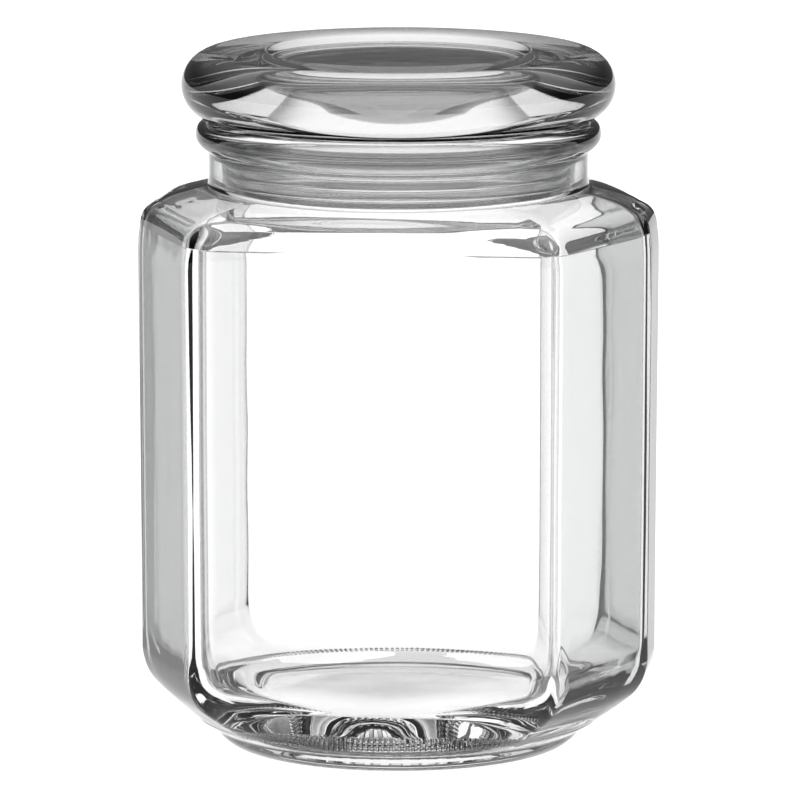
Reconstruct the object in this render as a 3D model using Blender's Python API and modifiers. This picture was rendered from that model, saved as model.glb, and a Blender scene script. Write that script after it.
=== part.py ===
"""Apothecary jar: an eight-sided glass body with a round neck and foot, a clear ribbed
seal ring and a thick disc lid with a hollow stopper. Metres, +Z up, standing on z = 0."""
import math

import bmesh
import bpy

# ---- driving dimensions, metres ----
# body plan: a long octagon, wide front and back panels, narrow flat sides
HALF_WIDTH = 0.0734        # to the narrow side panels, along X
HALF_DEPTH = 0.0563        # to the front and back panels, along Y
PANEL_HALF = 0.0526        # half the width of a front panel
SIDE_HALF = 0.0100         # half the width of a side panel
CORNER_R = 0.0028          # outside rounding of the vertical edges
INNER_CORNER_R = 0.0090    # inside rounding, so the corners are thick
WALL = 0.0037
# round parts of the body
NECK_R = 0.0540
BORE_R = 0.0503
BEAD_R = 0.0577            # locking bead at the mouth
BEAD_LOW = 0.1728
RIM_Z = 0.1803
RIM_ROUND = 0.0012
FOOT_R = 0.0540
BEARING_R = 0.0450         # outer edge of the ring the jar stands on
BEARING_IN = 0.0420
PUSH_UP = 0.0030           # how far the base is dished in
FLOOR_Z = 0.0167
# lid
LID_R = 0.0618
LID_ROUND = 0.0097
LID_LOW = 0.1808
LID_TOP = LID_LOW + 2 * LID_ROUND
DISH_R = 0.0372
DISH_DEPTH = 0.0020
STOPPER_R = 0.0462
STOPPER_IN = 0.0420
STOPPER_LOW = 0.1590
CEILING_Z = 0.1910
# seal ring on the stopper
SEAL_IN = 0.0465
SEAL_OUT = 0.0482
LIP_OUT = 0.0494
SEAL_LOW = 0.1603
SEAL_TOP = 0.1798
LIP_LEVELS = (0.1725, 0.1695, 0.1665, 0.1635)
LIP_HALF = 0.0006

# Cross-section levels as (z, share of the round section, how much wider than the neck or
# bore that round section is): share 0 is the octagon, 1 the circle.
OUTER_HEEL = ((0.0065, 1.0, 0.0005), (0.0088, 0.93, 0.0028), (0.0118, 0.70, 0.0035),
              (0.0147, 0.48, 0.0038), (0.0176, 0.267, 0.0040), (0.0206, 0.133, 0.0040),
              (0.0235, 0.06, 0.0040), (0.0270, 0.0, 0.0040))
OUTER_SHOULDER = ((0.1470, 0.0, 0.0058), (0.1520, 0.04, 0.0056), (0.1542, 0.10, 0.0055),
                  (0.1558, 0.20, 0.0050), (0.1571, 0.356, 0.0048), (0.1584, 0.497, 0.0043),
                  (0.1596, 0.677, 0.0033), (0.1606, 0.85, 0.0020), (0.1616, 0.97, 0.0006),
                  (0.1630, 1.0, 0.0))
INNER_HEEL = ((0.0171, 0.85, 0.0), (0.0179, 0.66, 0.0), (0.0190, 0.48, 0.0),
              (0.0205, 0.32, 0.0), (0.0225, 0.18, 0.0), (0.0250, 0.08, 0.0),
              (0.0285, 0.02, 0.0), (0.0330, 0.0, 0.0))
INNER_SHOULDER = ((0.1440, 0.0, 0.0057), (0.1490, 0.03, 0.0057), (0.1518, 0.12, 0.0055),
                  (0.1538, 0.24, 0.0052), (0.1554, 0.40, 0.0047), (0.1568, 0.60, 0.0037),
                  (0.1582, 0.82, 0.0022), (0.1594, 0.96, 0.0008), (0.1606, 1.0, 0.0))
PANEL_STEPS = (10, 6, 4, 6)    # segments on the front, slant, side and slant panels
CORNER_STEPS = 3
FLOOR_EDGE = 0.0460            # radius where the floor turns flat
FLOOR_MIDDLE = 0.0240
TURN_STEPS = 64

for old in list(bpy.data.objects):
    bpy.data.objects.remove(old, do_unlink=True)


def make_collection(name):
    """Make a collection in the scene and return it."""
    coll = bpy.data.collections.new(name)
    bpy.context.scene.collection.children.link(coll)
    return coll


def make_glass(name, color, roughness, ior):
    """Return a clear Principled material."""
    mat = bpy.data.materials.new(name)
    mat.use_nodes = True
    bsdf = mat.node_tree.nodes["Principled BSDF"]
    bsdf.inputs["Base Color"].default_value = (*color, 1.0)
    bsdf.inputs["Roughness"].default_value = roughness
    bsdf.inputs["IOR"].default_value = ior
    bsdf.inputs["Transmission Weight"].default_value = 1.0
    return mat


def shade(obj, degrees):
    """Shade smooth, keeping edges sharper than the angle."""
    bpy.ops.object.select_all(action="DESELECT")
    obj.select_set(True)
    bpy.context.view_layer.objects.active = obj
    bpy.ops.object.shade_smooth_by_angle(angle=math.radians(degrees))


def plan_outline(inset, corner_r):
    """Return the body's plan as a list of (x, y), counter-clockwise from the side panel.

    The panels are moved in by `inset` and the corners rounded to `corner_r`, so outer and inner
    outlines have the same number of points in the same order.
    """
    slant = math.atan2(HALF_WIDTH - PANEL_HALF, HALF_DEPTH - SIDE_HALF)
    planes = []                                # outward angle and distance of each panel
    reach = HALF_WIDTH * math.cos(slant) + SIDE_HALF * math.sin(slant)
    for turn, dist in ((0.0, HALF_WIDTH), (slant, reach), (math.pi / 2, HALF_DEPTH),
                       (math.pi - slant, reach), (math.pi, HALF_WIDTH),
                       (math.pi + slant, reach), (1.5 * math.pi, HALF_DEPTH),
                       (-slant, reach)):
        planes.append((turn, dist - inset))
    steps = [PANEL_STEPS[2], PANEL_STEPS[1], PANEL_STEPS[0], PANEL_STEPS[1]] * 2

    def meet(one, two):
        (a, p), (b, q) = one, two
        det = math.sin(b - a)
        return ((p * math.sin(b) - q * math.sin(a)) / det,
                (q * math.cos(a) - p * math.cos(b)) / det)

    corners = []
    for i, plane in enumerate(planes):
        after = planes[(i + 1) % 8]
        x, y = meet((plane[0], plane[1] - corner_r), (after[0], after[1] - corner_r))
        turn = (after[0] - plane[0]) % (2 * math.pi)
        corners.append([(x + corner_r * math.cos(plane[0] + turn * k / CORNER_STEPS),
                         y + corner_r * math.sin(plane[0] + turn * k / CORNER_STEPS))
                        for k in range(CORNER_STEPS + 1)])
    points = []
    for i, count in enumerate(steps):
        start, end = corners[i - 1][-1], corners[i][0]
        for k in range(count):
            t = k / count
            points.append((start[0] + (end[0] - start[0]) * t,
                           start[1] + (end[1] - start[1]) * t))
        points.extend(corners[i][:-1])
    return points


def ring(outline, share, radius, z):
    """Return one cross-section between the outline (share 0) and a circle (share 1)."""
    out = []
    for x, y in outline:
        r = math.hypot(x, y)
        new = r * (1.0 - share) + radius * share
        out.append((x / r * new, y / r * new, z))
    return out


def body_rings():
    """Return the body's cross-sections from the base's dish, up outside and down inside."""
    outer, inner = plan_outline(0.0, CORNER_R), plan_outline(WALL, INNER_CORNER_R)
    rings = []

    def turned(radius, z, outline=outer):
        rings.append(ring(outline, 1.0, radius, z))

    turned(BEARING_IN * 0.5, PUSH_UP)
    turned(BEARING_IN * 0.85, PUSH_UP * 0.7)
    turned(BEARING_IN, 0.0)
    turned(BEARING_R, 0.0)
    turned(BEARING_R + 0.0040, 0.0014)
    turned(FOOT_R - 0.0025, 0.0036)
    for z, share, flare in OUTER_HEEL:
        rings.append(ring(outer, share, FOOT_R + flare, z))
    for z, share, flare in OUTER_SHOULDER:
        rings.append(ring(outer, share, NECK_R + flare, z))
    turned(NECK_R, BEAD_LOW - 0.0022)
    middle = (BEAD_LOW + RIM_Z) / 2
    bulge = BEAD_R - NECK_R
    for turn in (-70, -35, 0, 35, 65):
        turned(NECK_R + bulge * math.cos(math.radians(turn)),
               middle + (RIM_Z - BEAD_LOW) / 2 * math.sin(math.radians(turn)))
    turned(NECK_R + 0.0004, RIM_Z)
    turned(BORE_R + RIM_ROUND, RIM_Z)
    turned(BORE_R, RIM_Z - RIM_ROUND)
    turned(BORE_R, 0.1700, inner)
    for z, share, flare in reversed(INNER_HEEL + INNER_SHOULDER):
        rings.append(ring(inner, share, BORE_R + flare, z))
    turned(FLOOR_EDGE, FLOOR_Z, inner)
    turned(FLOOR_MIDDLE, FLOOR_Z, inner)
    return rings


def make_body(coll):
    """Loft the jar body: eight-sided outside and inside, round at neck, mouth and foot."""
    bm = bmesh.new()
    loops = [[bm.verts.new(p) for p in points] for points in body_rings()]
    count = len(loops[0])
    for low, high in zip(loops, loops[1:]):
        for i in range(count):
            j = (i + 1) % count
            bm.faces.new((low[i], low[j], high[j], high[i]))
    for loop, height, flip in ((loops[0], PUSH_UP, True), (loops[-1], FLOOR_Z, False)):
        centre = bm.verts.new((0.0, 0.0, height))
        for i in range(count):
            pair = (loop[i], loop[(i + 1) % count])
            bm.faces.new((pair[1], pair[0], centre) if flip else (pair[0], pair[1], centre))
    mesh = bpy.data.meshes.new("jar_body")
    bm.to_mesh(mesh)
    bm.free()
    obj = bpy.data.objects.new("jar_body", mesh)
    coll.objects.link(obj)
    mesh.materials.append(make_glass("jar_glass", (0.96, 0.98, 0.97), 0.02, 1.52))
    shade(obj, 28)
    return obj


def turn(name, profile, closed, mat, coll, degrees):
    """Turn a profile of (radius, z) about Z with a Screw modifier."""
    mesh = bpy.data.meshes.new(name)
    edges = [(i, i + 1) for i in range(len(profile) - 1)]
    if closed:
        edges.append((len(profile) - 1, 0))
    mesh.from_pydata([(r, 0.0, z) for r, z in profile], edges, [])
    obj = bpy.data.objects.new(name, mesh)
    coll.objects.link(obj)
    mesh.materials.append(mat)
    screw = obj.modifiers.new("turned", "SCREW")
    screw.axis = "Z"
    screw.angle = 2 * math.pi
    screw.steps = TURN_STEPS
    screw.render_steps = TURN_STEPS
    screw.use_merge_vertices = True
    screw.merge_threshold = 0.00005
    screw.use_smooth_shade = True
    bpy.ops.object.select_all(action="DESELECT")
    obj.select_set(True)
    bpy.context.view_layer.objects.active = obj
    bpy.ops.object.modifier_apply(modifier="turned")
    shade(obj, degrees)
    return obj


def make_lid(coll):
    """Turn the lid: a thick round-edged disc, dished on top, with a hollow stopper below."""
    dish = LID_TOP - DISH_DEPTH
    mid = LID_TOP - LID_ROUND
    core = LID_R - LID_ROUND
    profile = [(0.0, dish), (DISH_R - 0.0030, dish), (DISH_R - 0.0012, dish + 0.0003),
               (DISH_R, LID_TOP - 0.0002), (DISH_R + 0.0012, LID_TOP)]
    for k in range(13):
        angle = math.pi / 2 - math.pi * k / 12
        profile.append((core + LID_ROUND * math.cos(angle), mid + LID_ROUND * math.sin(angle)))
    profile += [(STOPPER_R + 0.0008, LID_LOW), (STOPPER_R, LID_LOW - 0.0008),
                (STOPPER_R - 0.0003, STOPPER_LOW + 0.0012), (STOPPER_R - 0.0015, STOPPER_LOW),
                (STOPPER_IN + 0.0012, STOPPER_LOW), (STOPPER_IN, STOPPER_LOW + 0.0012),
                (STOPPER_IN - 0.0010, CEILING_Z - 0.0060),
                (STOPPER_IN - 0.0030, CEILING_Z - 0.0020), (STOPPER_IN - 0.0080, CEILING_Z),
                (0.0, CEILING_Z)]
    glass = make_glass("lid_glass", (0.95, 0.97, 0.97), 0.02, 1.52)
    return turn("lid", profile, False, glass, coll, 35)


def make_seal(coll):
    """Turn the soft clear sleeve with its ring-shaped lips."""
    profile = [(SEAL_IN, SEAL_TOP), (SEAL_OUT, SEAL_TOP)]
    for level in LIP_LEVELS:
        profile += [(SEAL_OUT, level + LIP_HALF), (LIP_OUT, level + LIP_HALF * 0.4),
                    (LIP_OUT, level - LIP_HALF * 0.4), (SEAL_OUT, level - LIP_HALF)]
    profile += [(SEAL_OUT, SEAL_LOW), (SEAL_IN, SEAL_LOW)]
    clear = make_glass("seal_clear_pvc", (0.93, 0.94, 0.94), 0.15, 1.53)
    return turn("seal_ring", profile, True, clear, coll, 35)


def main():
    """Build the three pieces in one collection."""
    coll = make_collection("apothecary_jar")
    make_body(coll)
    make_lid(coll)
    make_seal(coll)


main()
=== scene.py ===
"""Looks for the apothecary jar: clear pressed glass body and lid, ribbed clear seal."""

import json
import logging
import math
from dataclasses import dataclass
from enum import Enum

import bpy
import numpy as np
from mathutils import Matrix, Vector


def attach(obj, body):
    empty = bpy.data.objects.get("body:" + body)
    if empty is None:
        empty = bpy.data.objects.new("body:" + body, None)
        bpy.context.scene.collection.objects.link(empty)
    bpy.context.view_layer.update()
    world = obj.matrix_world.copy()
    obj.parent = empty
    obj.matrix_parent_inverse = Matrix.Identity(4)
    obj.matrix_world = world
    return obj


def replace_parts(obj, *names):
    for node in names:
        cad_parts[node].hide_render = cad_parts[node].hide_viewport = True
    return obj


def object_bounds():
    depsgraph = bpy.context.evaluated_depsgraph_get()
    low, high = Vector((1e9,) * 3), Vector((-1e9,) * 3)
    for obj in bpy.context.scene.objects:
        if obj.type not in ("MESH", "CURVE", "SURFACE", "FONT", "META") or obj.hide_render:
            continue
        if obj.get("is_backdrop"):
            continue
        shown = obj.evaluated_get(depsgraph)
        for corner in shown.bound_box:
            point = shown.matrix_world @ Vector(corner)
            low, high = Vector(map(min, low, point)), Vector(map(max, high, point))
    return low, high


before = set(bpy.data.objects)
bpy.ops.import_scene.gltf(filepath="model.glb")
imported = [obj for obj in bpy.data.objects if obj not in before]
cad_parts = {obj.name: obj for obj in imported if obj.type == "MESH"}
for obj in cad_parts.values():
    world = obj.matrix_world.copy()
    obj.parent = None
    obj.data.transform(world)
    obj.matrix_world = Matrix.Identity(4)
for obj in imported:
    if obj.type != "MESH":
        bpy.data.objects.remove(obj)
SIZE_AT_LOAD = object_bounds()

logging.basicConfig(level=logging.INFO, format="%(message)s")
LOG = logging.getLogger("jar")


class Slot(Enum):
    """The CAD material slots that the pieces fill."""

    JAR = "jar_glass"
    LID = "lid_glass"
    SEAL = "seal_clear_pvc"


@dataclass(frozen=True)
class Section:
    """One level of the body.

    share is how round the section is (0 octagon, 1 circle) and radius the circle's radius.
    inside is 0 on the outer wall and 1 on the inner, and scale is the octagon's size there.
    """

    z: float
    share: float
    radius: float
    inside: float = 0.0
    scale: float = 1.0


def srgb(code: str) -> tuple[float, float, float, float]:
    """Convert an sRGB hex code to linear colour.

    Args:
        code: six hex digits.
    Returns:
        Linear red, green, blue and alpha 1.
    """
    parts = [int(code[i:i + 2], 16) / 255 for i in (0, 2, 4)]
    linear = [c / 12.92 if c <= 0.04045 else ((c + 0.055) / 1.055) ** 2.4 for c in parts]
    return (*linear, 1.0)


def add_node(tree: bpy.types.NodeTree, kind: str, **values: object) -> bpy.types.Node:
    """Add a node, setting its inputs by name, or its attributes if it has no such input.

    Args:
        tree: the node tree to add to.
        kind: the node's type name.
        **values: a value for each input or attribute.
    Returns:
        The new node.
    """
    node = tree.nodes.new(kind)
    for key, value in values.items():
        label = key.replace("_", " ").title()
        if label in node.inputs:
            node.inputs[label].default_value = value
        else:
            setattr(node, key, value)
    return node


@dataclass(frozen=True)
class ClearFinish:
    """A clear material: name, tint, roughness, IOR and surface waviness.

    wave_mm is the size of the faint waves left by the mould, wave_depth_mm their height.
    absorb_per_m is how fast the piece darkens light along its path.
    edge_shade_tint is painted shade where the piece is seen edge-on, grey to near black: partly
    light lost along long paths through the glass, partly dark surroundings seen at its edges.
    level_shade_share is how much of that painted shade shows on level faces, such as the jar's
    floor and the lid's top.
    """

    name: str
    tint: str
    roughness: float
    ior: float
    wave_mm: float
    wave_depth_mm: float
    absorb_per_m: float
    edge_shade_tint: str
    level_shade_share: float

    def painted_edge_shade(self, tree: bpy.types.NodeTree) -> bpy.types.NodeSocket:
        """Build a tint with painted shade that turns grey, then nearly black, where the piece is
        seen edge-on.

        Args:
            tree: the material's node tree.
        Returns:
            The colour socket that carries the tint and its painted shade.
        """
        # Painted shade: the facing value darkens the tint towards edge_shade_tint where a face
        # is seen edge-on.
        facing = add_node(tree, "ShaderNodeLayerWeight", blend=0.5)
        shade_ramp = add_node(tree, "ShaderNodeValToRGB")
        shade_ramp.color_ramp.interpolation = "EASE"
        stops = shade_ramp.color_ramp.elements
        stops[0].position, stops[0].color = SHADE_STARTS_AT, srgb(self.tint)
        stops[1].position, stops[1].color = SHADE_DARK_FROM, srgb(self.edge_shade_tint)
        stops.new(SHADE_GREY_AT).color = srgb(SHADE_GREY)
        # Level faces keep only level_shade_share of the painted shade.
        shape = add_node(tree, "ShaderNodeNewGeometry")
        parts = add_node(tree, "ShaderNodeSeparateXYZ")
        level = add_node(tree, "ShaderNodeMath", operation="ABSOLUTE")
        share = add_node(tree, "ShaderNodeMapRange")
        share.inputs["From Min"].default_value = 0.5
        share.inputs["To Min"].default_value = 1.0
        share.inputs["To Max"].default_value = self.level_shade_share
        shaded_tint = add_node(tree, "ShaderNodeMix", data_type="RGBA")
        shaded_tint.inputs[6].default_value = srgb(self.tint)
        link = tree.links.new
        link(facing.outputs["Facing"], shade_ramp.inputs["Fac"])
        link(shape.outputs["Normal"], parts.inputs["Vector"])
        link(parts.outputs["Z"], level.inputs[0])
        link(level.outputs[0], share.inputs["Value"])
        link(share.outputs["Result"], shaded_tint.inputs[0])
        link(shade_ramp.outputs["Color"], shaded_tint.inputs[7])
        return shaded_tint.outputs[2]

    def make(self) -> bpy.types.Material:
        """Make the material the first time, and give the same one back after that.

        Returns:
            The finished material.
        """
        if self.name in bpy.data.materials:
            return bpy.data.materials[self.name]
        mat = bpy.data.materials.new(self.name)
        mat.use_nodes = True
        tree = mat.node_tree
        bsdf = tree.nodes["Principled BSDF"]
        bsdf.inputs["IOR"].default_value = self.ior
        bsdf.inputs["Transmission Weight"].default_value = 1.0
        coords = add_node(tree, "ShaderNodeTexCoord")
        drawn = add_node(tree, "ShaderNodeMapping")
        drawn.inputs["Scale"].default_value = (1.0, 1.0, WAVE_STRETCH)
        waves = add_node(tree, "ShaderNodeTexNoise", scale=1000.0 / self.wave_mm,
                         detail=2.0, roughness=0.45)
        bump = add_node(tree, "ShaderNodeBump", strength=1.0,
                        distance=self.wave_depth_mm / 1000.0)
        haze = add_node(tree, "ShaderNodeTexNoise", scale=HAZE_PER_M, detail=3.0)
        spread = add_node(tree, "ShaderNodeMapRange")
        spread.inputs["To Min"].default_value = self.roughness * 0.4
        spread.inputs["To Max"].default_value = self.roughness * 1.6
        absorb = add_node(tree, "ShaderNodeVolumeAbsorption", density=self.absorb_per_m)
        absorb.inputs["Color"].default_value = (0.02, 0.03, 0.03, 1.0)
        link = tree.links.new
        link(coords.outputs["Object"], drawn.inputs["Vector"])
        link(drawn.outputs["Vector"], waves.inputs["Vector"])
        link(waves.outputs["Fac"], bump.inputs["Height"])
        link(bump.outputs["Normal"], bsdf.inputs["Normal"])
        link(coords.outputs["Object"], haze.inputs["Vector"])
        link(haze.outputs["Fac"], spread.inputs["Value"])
        link(spread.outputs["Result"], bsdf.inputs["Roughness"])
        # The base colour carries the painted edge shade.
        link(self.painted_edge_shade(tree), bsdf.inputs["Base Color"])
        link(absorb.outputs["Volume"], tree.nodes["Material Output"].inputs["Volume"])
        return mat


# Painted edge shade: how far a face may turn away before the shade starts, is mid grey, and is
# nearly black.
SHADE_STARTS_AT, SHADE_GREY_AT, SHADE_DARK_FROM = 0.25, 0.66, 0.82
# The mid grey of the painted edge shade.
SHADE_GREY = "A8AAAA"
# Patches of slightly softer gloss, about 11 mm across, as handling leaves them.
HAZE_PER_M = 90.0
# The mould's waves run upwards, so they are about three times as tall as wide.
WAVE_STRETCH = 0.3

# Pressed soda-lime glass: bright and glossy, with slow waves that bend what lies behind; painted
# shade turns it near black where it is seen edge-on, and hardly at all on level faces.
JAR_GLASS = ClearFinish("soda_lime_glass_pressed_jar", "FBFBFB", 0.012, 1.52, 26.0, 0.16, 1.0,
                        "101212", 0.05)
# The same glass, cast thicker: a little greyer, and dark round its rolled edge, partly from its
# absorption and partly from painted shade where it is seen edge-on, more of which stays on its
# level top.
LID_GLASS = ClearFinish("soda_lime_glass_pressed_lid", "F2F2F2", 0.014, 1.52, 30.0, 0.12, 4.0,
                        "181A1A", 0.6)
# Moulded PVC: clear but softer in gloss, so its ribs show as pale rings in the neck; painted
# shade greys it where it is seen edge-on.
SEAL_PVC = ClearFinish("clear_pvc_moulded_seal", "F8F8F8", 0.05, 1.53, 12.0, 0.03, 3.0,
                       "A8AAAA", 0.3)


def only(obj: bpy.types.Object) -> None:
    """Make obj the only selected object, and the active one.

    Args:
        obj: the object to select.
    """
    bpy.ops.object.select_all(action="DESELECT")
    obj.select_set(True)
    bpy.context.view_layer.objects.active = obj


def smooth_line(points: np.ndarray, steps: int) -> np.ndarray:
    """Run a Catmull-Rom curve through rows of values.

    Args:
        points: the rows to pass through.
        steps: how many pieces lie between each pair.
    Returns:
        The rows of the curve, ending on the last point.
    """
    ends = np.vstack([2 * points[0] - points[1], points, 2 * points[-1] - points[-2]])
    out = []
    for i in range(1, len(ends) - 2):
        a, b, c, d = ends[i - 1:i + 3]
        for t in np.linspace(0.0, 1.0, steps, endpoint=False):
            out.append(0.5 * (2 * b + (c - a) * t + (2 * a - 5 * b + 4 * c - d) * t ** 2
                              + (3 * b - a - 3 * c + d) * t ** 3))
    out.append(points[-1])
    return np.array(out)


def finish_mesh(obj: bpy.types.Object, finish: ClearFinish, degrees: float) -> None:
    """Weld a piece, turn its faces outward, shade it and give it its finish.

    Args:
        obj: the piece.
        finish: the material it gets.
        degrees: edges sharper than this stay crisp.
    """
    only(obj)
    bpy.ops.object.mode_set(mode="EDIT")
    bpy.ops.mesh.select_all(action="SELECT")
    bpy.ops.mesh.remove_doubles(threshold=0.000002)
    bpy.ops.mesh.normals_make_consistent(inside=False)
    bpy.ops.object.mode_set(mode="OBJECT")
    bpy.ops.object.shade_smooth_by_angle(angle=math.radians(degrees))
    obj.data.materials.clear()
    obj.data.materials.append(finish.make())
    obj.visible_shadow = False  # clear glass lets the light on to the floor through
    LOG.info("%s: %d faces", obj.name, len(obj.data.polygons))


def turned(name: str, profile: list, closed: bool, around: int) -> bpy.types.Object:
    """Turn a profile about Z, from a ring of points that is moved on to the profile.

    Args:
        name: name for the object and its mesh.
        profile: (radius, z) points in order.
        closed: whether the last point joins the first; if not, both lie on the axis.
        around: number of steps round the axis.
    Returns:
        The turned object, with its modifier applied.
    """
    bpy.ops.object.select_all(action="DESELECT")
    bpy.ops.mesh.primitive_circle_add(vertices=len(profile), radius=1.0, location=(0, 0, 0))
    obj = bpy.context.object
    obj.name = obj.data.name = name
    places = np.array([(r, 0.0, z) for r, z in profile])
    obj.data.vertices.foreach_set("co", places.ravel())
    if not closed:
        ends = {0, len(profile) - 1}
        for vertex in obj.data.vertices:
            vertex.select = vertex.index in ends
        for edge in obj.data.edges:
            edge.select = set(edge.vertices) == ends
        bpy.ops.object.mode_set(mode="EDIT")
        bpy.ops.mesh.delete(type="EDGE")
        bpy.ops.object.mode_set(mode="OBJECT")
    screw = obj.modifiers.new("turned", "SCREW")
    screw.steps = screw.render_steps = around
    screw.use_merge_vertices = True
    screw.merge_threshold = 0.000005
    bpy.ops.object.modifier_apply(modifier="turned")
    return obj


@dataclass
class JarBody:
    """The one-piece body: octagonal walls, round neck, bead, heel and knurled foot."""

    half_width: float = 0.0734
    half_depth: float = 0.0563
    panel_half: float = 0.0526
    side_half: float = 0.0100
    wall: float = 0.0037
    outer_corner: float = 0.0028
    inner_corner: float = 0.0090
    neck_r: float = 0.0540
    bore_r: float = 0.0503
    flat_points: int = 26
    corner_points: int = 12
    knurls: int = 232
    knurl_size: tuple[float, float, float] = (0.0026, 0.0008, 0.0038)
    knurl_r: float = 0.0566
    knurl_z: float = 0.0104
    knurl_soft: float = 0.00025

    def outline(self, inset: float, corner_r: float) -> np.ndarray:
        """Draw the octagon's plan with rounded corners.

        Args:
            inset: how far inside the outer faces the plan lies.
            corner_r: radius of its corners.
        Returns:
            Rows of (x, y), anticlockwise.
        """
        slant = math.atan2(self.half_width - self.panel_half, self.half_depth - self.side_half)
        reach = self.half_width * math.cos(slant) + self.side_half * math.sin(slant)
        turns = [0.0, slant, math.pi / 2, math.pi - slant]
        turns += [t + math.pi for t in turns]
        dists = [self.half_width, reach, self.half_depth, reach] * 2
        planes = [(t, d - inset) for t, d in zip(turns, dists)]
        arcs = []
        for i, (a, p) in enumerate(planes):
            b, q = planes[(i + 1) % 8]
            p, q, det = p - corner_r, q - corner_r, math.sin(b - a)
            x = (p * math.sin(b) - q * math.sin(a)) / det
            y = (q * math.cos(a) - p * math.cos(b)) / det
            sweep = (b - a) % (2 * math.pi)
            arcs.append([(x + corner_r * math.cos(a + sweep * k / self.corner_points),
                          y + corner_r * math.sin(a + sweep * k / self.corner_points))
                         for k in range(self.corner_points + 1)])
        points = []
        for i in range(8):
            start, end = np.array(arcs[i - 1][-1]), np.array(arcs[i][0])
            points += [start + (end - start) * k / self.flat_points
                       for k in range(self.flat_points)]
            points += arcs[i][:-1]
        return np.array(points)

    def sections(self) -> list[Section]:
        """List the key levels, from the base's middle up outside and down inside.

        Returns:
            The levels in order.
        """
        neck, bore = self.neck_r, self.bore_r
        keys = [Section(0.0030, 1, 0.0), Section(0.0029, 1, 0.022), Section(0.0016, 1, 0.037),
                Section(0.0002, 1, 0.0415), Section(0.0, 1, 0.0430), Section(0.0002, 1, 0.0450),
                Section(0.0014, 1, 0.0488), Section(0.0036, 1, 0.0515),
                Section(0.0058, 1, 0.0532)]
        for z, share, flare in ((.0066, 1.0, .0006), (.0086, .94, .0027), (.0104, .82, .0033),
                                (.0121, .68, .0035), (.0147, .48, .0038), (.0176, .267, .0040),
                                (.0206, .133, .0040), (.0235, .06, .0040), (.0270, .012, .0040)):
            keys.append(Section(z, share, neck + flare, 0, 0.996))
        keys += [Section(0.0310, 0, neck, 0, 0.994), Section(0.0500, 0, neck, 0, 0.995),
                 Section(0.0900, 0, neck, 0, .998), Section(0.1300, 0, neck, 0, 1.002),
                 Section(0.1440, 0, neck, 0, 1.003)]
        for z, share, flare in ((.1490, .012, .0058), (.1520, .04, .0056), (.1542, .10, .0055),
                                (.1558, .20, .0050), (.1571, .356, .0048), (.1584, .497, .0043),
                                (.1596, .677, .0033), (.1606, .85, .0020), (.1616, .97, .0006),
                                (.1630, 1.0, 0.0)):
            keys.append(Section(z, share, neck + flare))
        keys += [Section(0.1700, 1, neck), Section(0.1720, 1, neck + .0004),
                 Section(0.1732, 1, neck + .0022), Section(0.1750, 1, neck + .0035),
                 Section(0.1770, 1, neck + .0037), Section(0.1788, 1, neck + .0031),
                 Section(0.1799, 1, neck + .0016), Section(0.1803, 1, neck + .0002, .2),
                 Section(0.1803, 1, bore + .0014, .6), Section(0.1799, 1, bore + .0003, .9),
                 Section(0.1788, 1, bore, 1), Section(0.1700, 1, bore, 1)]
        for z, share, flare in ((.1606, 1.0, 0.0), (.1594, .96, .0008), (.1582, .82, .0022),
                                (.1568, .60, .0037), (.1554, .40, .0047), (.1538, .24, .0052),
                                (.1518, .12, .0055), (.1490, .03, .0057), (.1440, 0.0, .0057)):
            keys.append(Section(z, share, bore + flare, 1))
        keys += [Section(0.0900, 0, bore, 1), Section(0.0500, 0, bore, 1, .996),
                 Section(0.0330, 0, bore, 1, .994)]
        for z, share in ((0.0285, .02), (0.0250, .08), (0.0225, .18), (0.0205, .32),
                         (0.0190, .48), (0.0179, .66), (0.0171, .85)):
            keys.append(Section(z, share, bore, 1, 0.99))
        keys += [Section(0.0167, 1, 0.0460, 1), Section(0.0166, 1, 0.0380, 1),
                 Section(0.0168, 1, 0.0200, 1), Section(0.0170, 1, 0.0, 1)]
        return keys

    def build(self) -> bpy.types.Object:
        """Loft the body from a grid whose rows become the levels.

        Returns:
            The body, closed all over, with its wall thickness.
        """
        outer = self.outline(0.0, self.outer_corner)
        inner = self.outline(self.wall, self.inner_corner)
        keys = self.sections()
        table = np.array([(k.z, k.share, k.radius, k.inside, k.scale) for k in keys])
        rows = smooth_line(table, 3)
        around = len(outer)
        bpy.ops.mesh.primitive_grid_add(x_subdivisions=around, y_subdivisions=len(rows) - 1,
                                        size=1.0)
        obj = bpy.context.object
        obj.name = obj.data.name = "jar_body_glass"
        grid = np.zeros(len(obj.data.vertices) * 3)
        obj.data.vertices.foreach_get("co", grid)
        grid = grid.reshape(-1, 3)
        col = np.rint((grid[:, 0] + 0.5) * around).astype(int) % around
        row = np.rint((grid[:, 1] + 0.5) * (len(rows) - 1)).astype(int)
        z, share, radius, inside, scale = rows[row].T
        share, inside, z = np.clip(share, 0, 1), np.clip(inside, 0, 1), np.maximum(z, 0)
        plan = outer[col] * (1 - inside)[:, None] + inner[col] * inside[:, None]
        reach = np.hypot(plan[:, 0], plan[:, 1])
        new = (reach * scale * (1 - share) + np.maximum(radius, 0) * share) / reach
        grid[:, :2], grid[:, 2] = plan * new[:, None], z
        obj.data.vertices.foreach_set("co", grid.ravel())
        obj.data.update()
        finish_mesh(obj, JAR_GLASS, 60)
        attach(obj, "jar")
        return obj

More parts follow.
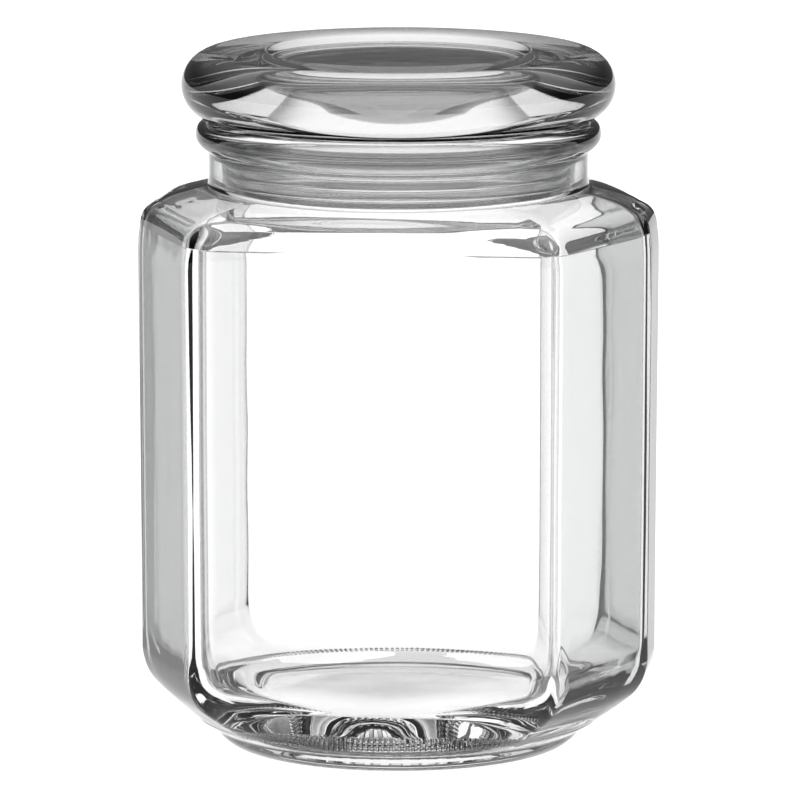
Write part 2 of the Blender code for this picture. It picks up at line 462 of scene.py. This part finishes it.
    def build_knurls(self) -> bpy.types.Object:
        """Make one bevelled ridge and stand copies of it round the foot.

        Returns:
            All the ridges as one piece.
        """
        bpy.ops.mesh.primitive_cube_add(size=1.0, location=(0, 0, 0))
        ridge = bpy.context.object
        ridge.scale = self.knurl_size
        bpy.ops.object.transform_apply(location=False, rotation=False, scale=True)
        bevel = ridge.modifiers.new("soft", "BEVEL")
        bevel.width, bevel.segments = self.knurl_soft, 2
        bpy.ops.object.modifier_apply(modifier="soft")
        copies = []
        for i in range(self.knurls):
            angle = 2 * math.pi * i / self.knurls
            copy = ridge.copy()
            copy.data = ridge.data.copy()
            bpy.context.scene.collection.objects.link(copy)
            copy.rotation_euler = (0.0, 0.0, angle)
            copy.location = (self.knurl_r * math.cos(angle), self.knurl_r * math.sin(angle),
                             self.knurl_z)
            copies.append(copy)
        bpy.data.objects.remove(ridge, do_unlink=True)
        only(copies[0])
        for copy in copies:
            copy.select_set(True)
        bpy.ops.object.join()
        obj = bpy.context.object
        bpy.ops.object.transform_apply(location=True, rotation=True, scale=True)
        obj.name = obj.data.name = "foot_knurls"
        finish_mesh(obj, JAR_GLASS, 40)
        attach(obj, "jar")
        return obj


@dataclass
class Lid:
    """The thick round-edged disc with a shallow dish on top and a hollow stopper."""

    radius: float = 0.0618
    edge: float = 0.0097
    low: float = 0.1808
    dish_r: float = 0.0372
    dish: float = 0.0020
    stopper_r: float = 0.0462
    stopper_in: float = 0.0420
    stopper_low: float = 0.1590
    ceiling: float = 0.1910

    def build(self) -> bpy.types.Object:
        """Turn the lid's profile, from the dish's middle out and down to the ceiling's.

        Returns:
            The lid.
        """
        top = self.low + 2 * self.edge
        core, mid = self.radius - self.edge, self.low + self.edge
        # Rings between the axis and the dish's edge keep its flat middle flat.
        line = [(r, top - self.dish) for r in (0.0, .004, .014, .024, self.dish_r - .0045)]
        line += [(self.dish_r - .003, top - self.dish),
                (self.dish_r - .001, top - self.dish + .0002), (self.dish_r, top - .0004),
                (self.dish_r + .0010, top)]
        line += [(core + self.edge * math.cos(a), mid + self.edge * math.sin(a))
                 for a in np.linspace(math.pi / 2, -math.pi / 2, 49)]
        rest = [(self.stopper_r + .0010, self.low), (self.stopper_r + .0002, self.low - .0004),
                (self.stopper_r, self.low - .0014),
                (self.stopper_r - .0003, self.stopper_low + .0016),
                (self.stopper_r - .0012, self.stopper_low + .0002),
                (self.stopper_r - .0020, self.stopper_low),
                (self.stopper_in + .0012, self.stopper_low),
                (self.stopper_in + .0003, self.stopper_low + .0005),
                (self.stopper_in, self.stopper_low + .0016),
                (self.stopper_in - .0006, self.ceiling - .0070),
                (self.stopper_in - .0024, self.ceiling - .0026),
                (self.stopper_in - .0060, self.ceiling - .0005),
                (self.stopper_in - .0100, self.ceiling)]
        rest += [(r, self.ceiling) for r in (self.stopper_in - .0120, .024, .014, .004, 0.0)]
        obj = turned("lid_glass_disc", line + rest, False, 192)
        finish_mesh(obj, LID_GLASS, 50)
        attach(obj, "lid")
        return obj


@dataclass
class SealRing:
    """The soft clear sleeve with ring lips."""

    inner: float = 0.0465
    outer: float = 0.0482
    lip: float = 0.0494
    low: float = 0.1603
    top: float = 0.1798
    levels: tuple[float, ...] = (0.1725, 0.1695, 0.1665, 0.1635)
    lip_half: float = 0.0006

    def build(self) -> bpy.types.Object:
        """Turn the sleeve's closed profile with a rounded lip at each level.

        Returns:
            The seal.
        """
        line = [(self.inner, self.top), (self.outer, self.top)]
        reach = self.lip - self.outer
        for level in self.levels:
            line += [(self.outer + reach * math.cos(a), level + self.lip_half * math.sin(a))
                     for a in np.linspace(math.pi / 2, -math.pi / 2, 9)]
        line += [(self.outer, self.low), (self.inner, self.low)]
        obj = turned("seal_ring_pvc", line, True, 160)
        finish_mesh(obj, SEAL_PVC, 40)
        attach(obj, "seal")
        return obj


@dataclass
class Studio:
    """Plain pale floor, soft light from overhead all the way round, and the camera.

    sky_from and sky_to are the heights of a direction between which the light grows.
    """

    azimuth: float = 7.5
    distance: float = 2.398
    height: float = 0.4998
    aim: float = 0.0993
    lens: float = 382.5
    floor_r: float = 6.0
    floor_z: float = -0.0005
    floor_glow: float = 0.26
    sky_low: float = 0.20
    sky_high: float = 1.25
    sky_from: float = 0.15
    sky_to: float = 0.75

    def lay_floor(self) -> None:
        """Lay the floor, which glows a little so that it stays pale."""
        bpy.ops.mesh.primitive_circle_add(vertices=96, radius=self.floor_r, fill_type="NGON",
                                          location=(0, 0, self.floor_z))
        floor = bpy.context.object
        floor.name = "floor"
        mat = bpy.data.materials.new("white_floor_paper")
        mat.use_nodes = True
        bsdf = mat.node_tree.nodes["Principled BSDF"]
        bsdf.inputs["Base Color"].default_value = srgb("F5F5F5")
        bsdf.inputs["Roughness"].default_value = 0.9
        bsdf.inputs["Emission Color"].default_value = (1, 1, 1, 1)
        bsdf.inputs["Emission Strength"].default_value = self.floor_glow
        floor.data.materials.append(mat)
        floor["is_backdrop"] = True

    def light(self) -> None:
        """Light the scene from above, dimmer towards the horizon, alike on every side."""
        world = bpy.data.worlds.new("studio")
        bpy.context.scene.world = world
        world.use_nodes = True
        tree = world.node_tree
        coords = add_node(tree, "ShaderNodeTexCoord")
        parts = add_node(tree, "ShaderNodeSeparateXYZ")
        rise = add_node(tree, "ShaderNodeMapRange", interpolation_type="SMOOTHSTEP")
        rise.inputs["From Min"].default_value = self.sky_from
        rise.inputs["From Max"].default_value = self.sky_to
        rise.inputs["To Min"].default_value = self.sky_low
        rise.inputs["To Max"].default_value = self.sky_high
        tree.links.new(coords.outputs["Generated"], parts.inputs["Vector"])
        tree.links.new(parts.outputs["Z"], rise.inputs["Value"])
        tree.nodes["Background"].inputs["Color"].default_value = (1, 1, 1, 1)
        tree.links.new(rise.outputs["Result"], tree.nodes["Background"].inputs["Strength"])

    def place_camera(self) -> None:
        """Place the camera a little above the jar, looking slightly down at its middle."""
        turn = math.radians(self.azimuth)
        data = bpy.data.cameras.new("camera")
        cam = bpy.data.objects.new("camera", data)
        bpy.context.scene.collection.objects.link(cam)
        data.lens, data.sensor_width = self.lens, 36.0
        data.clip_end = 50.0
        data.shift_x = 0.0019
        cam.location = (self.distance * math.sin(turn), -self.distance * math.cos(turn),
                        self.height)
        pitch = math.atan2(self.height - self.aim, self.distance)
        cam.rotation_euler = (math.pi / 2 - pitch, 0.0, turn)
        bpy.context.scene.camera = cam

    def build(self) -> None:
        """Add floor, light and camera, and let light through many layers of glass."""
        self.lay_floor()
        self.light()
        self.place_camera()
        scene = bpy.context.scene
        scene.view_settings.view_transform = "Standard"
        scene.view_settings.gamma = 0.8
        scene.cycles.transmission_bounces = 16
        scene.cycles.max_bounces = 20


def main() -> None:
    """Build every piece and the studio."""
    bpy.ops.object.select_all(action="DESELECT")
    body = JarBody()
    shell = body.build()
    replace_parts(shell, "jar_body")
    body.build_knurls()
    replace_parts(Lid().build(), "lid")
    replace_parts(SealRing().build(), "seal_ring")
    Studio().build()
    sizes = {"at_load": SIZE_AT_LOAD, "at_finish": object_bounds()}
    plain = json.loads(json.dumps(sizes, default=lambda v: [float(x) for x in v]))


if __name__ == "__main__":
    main()
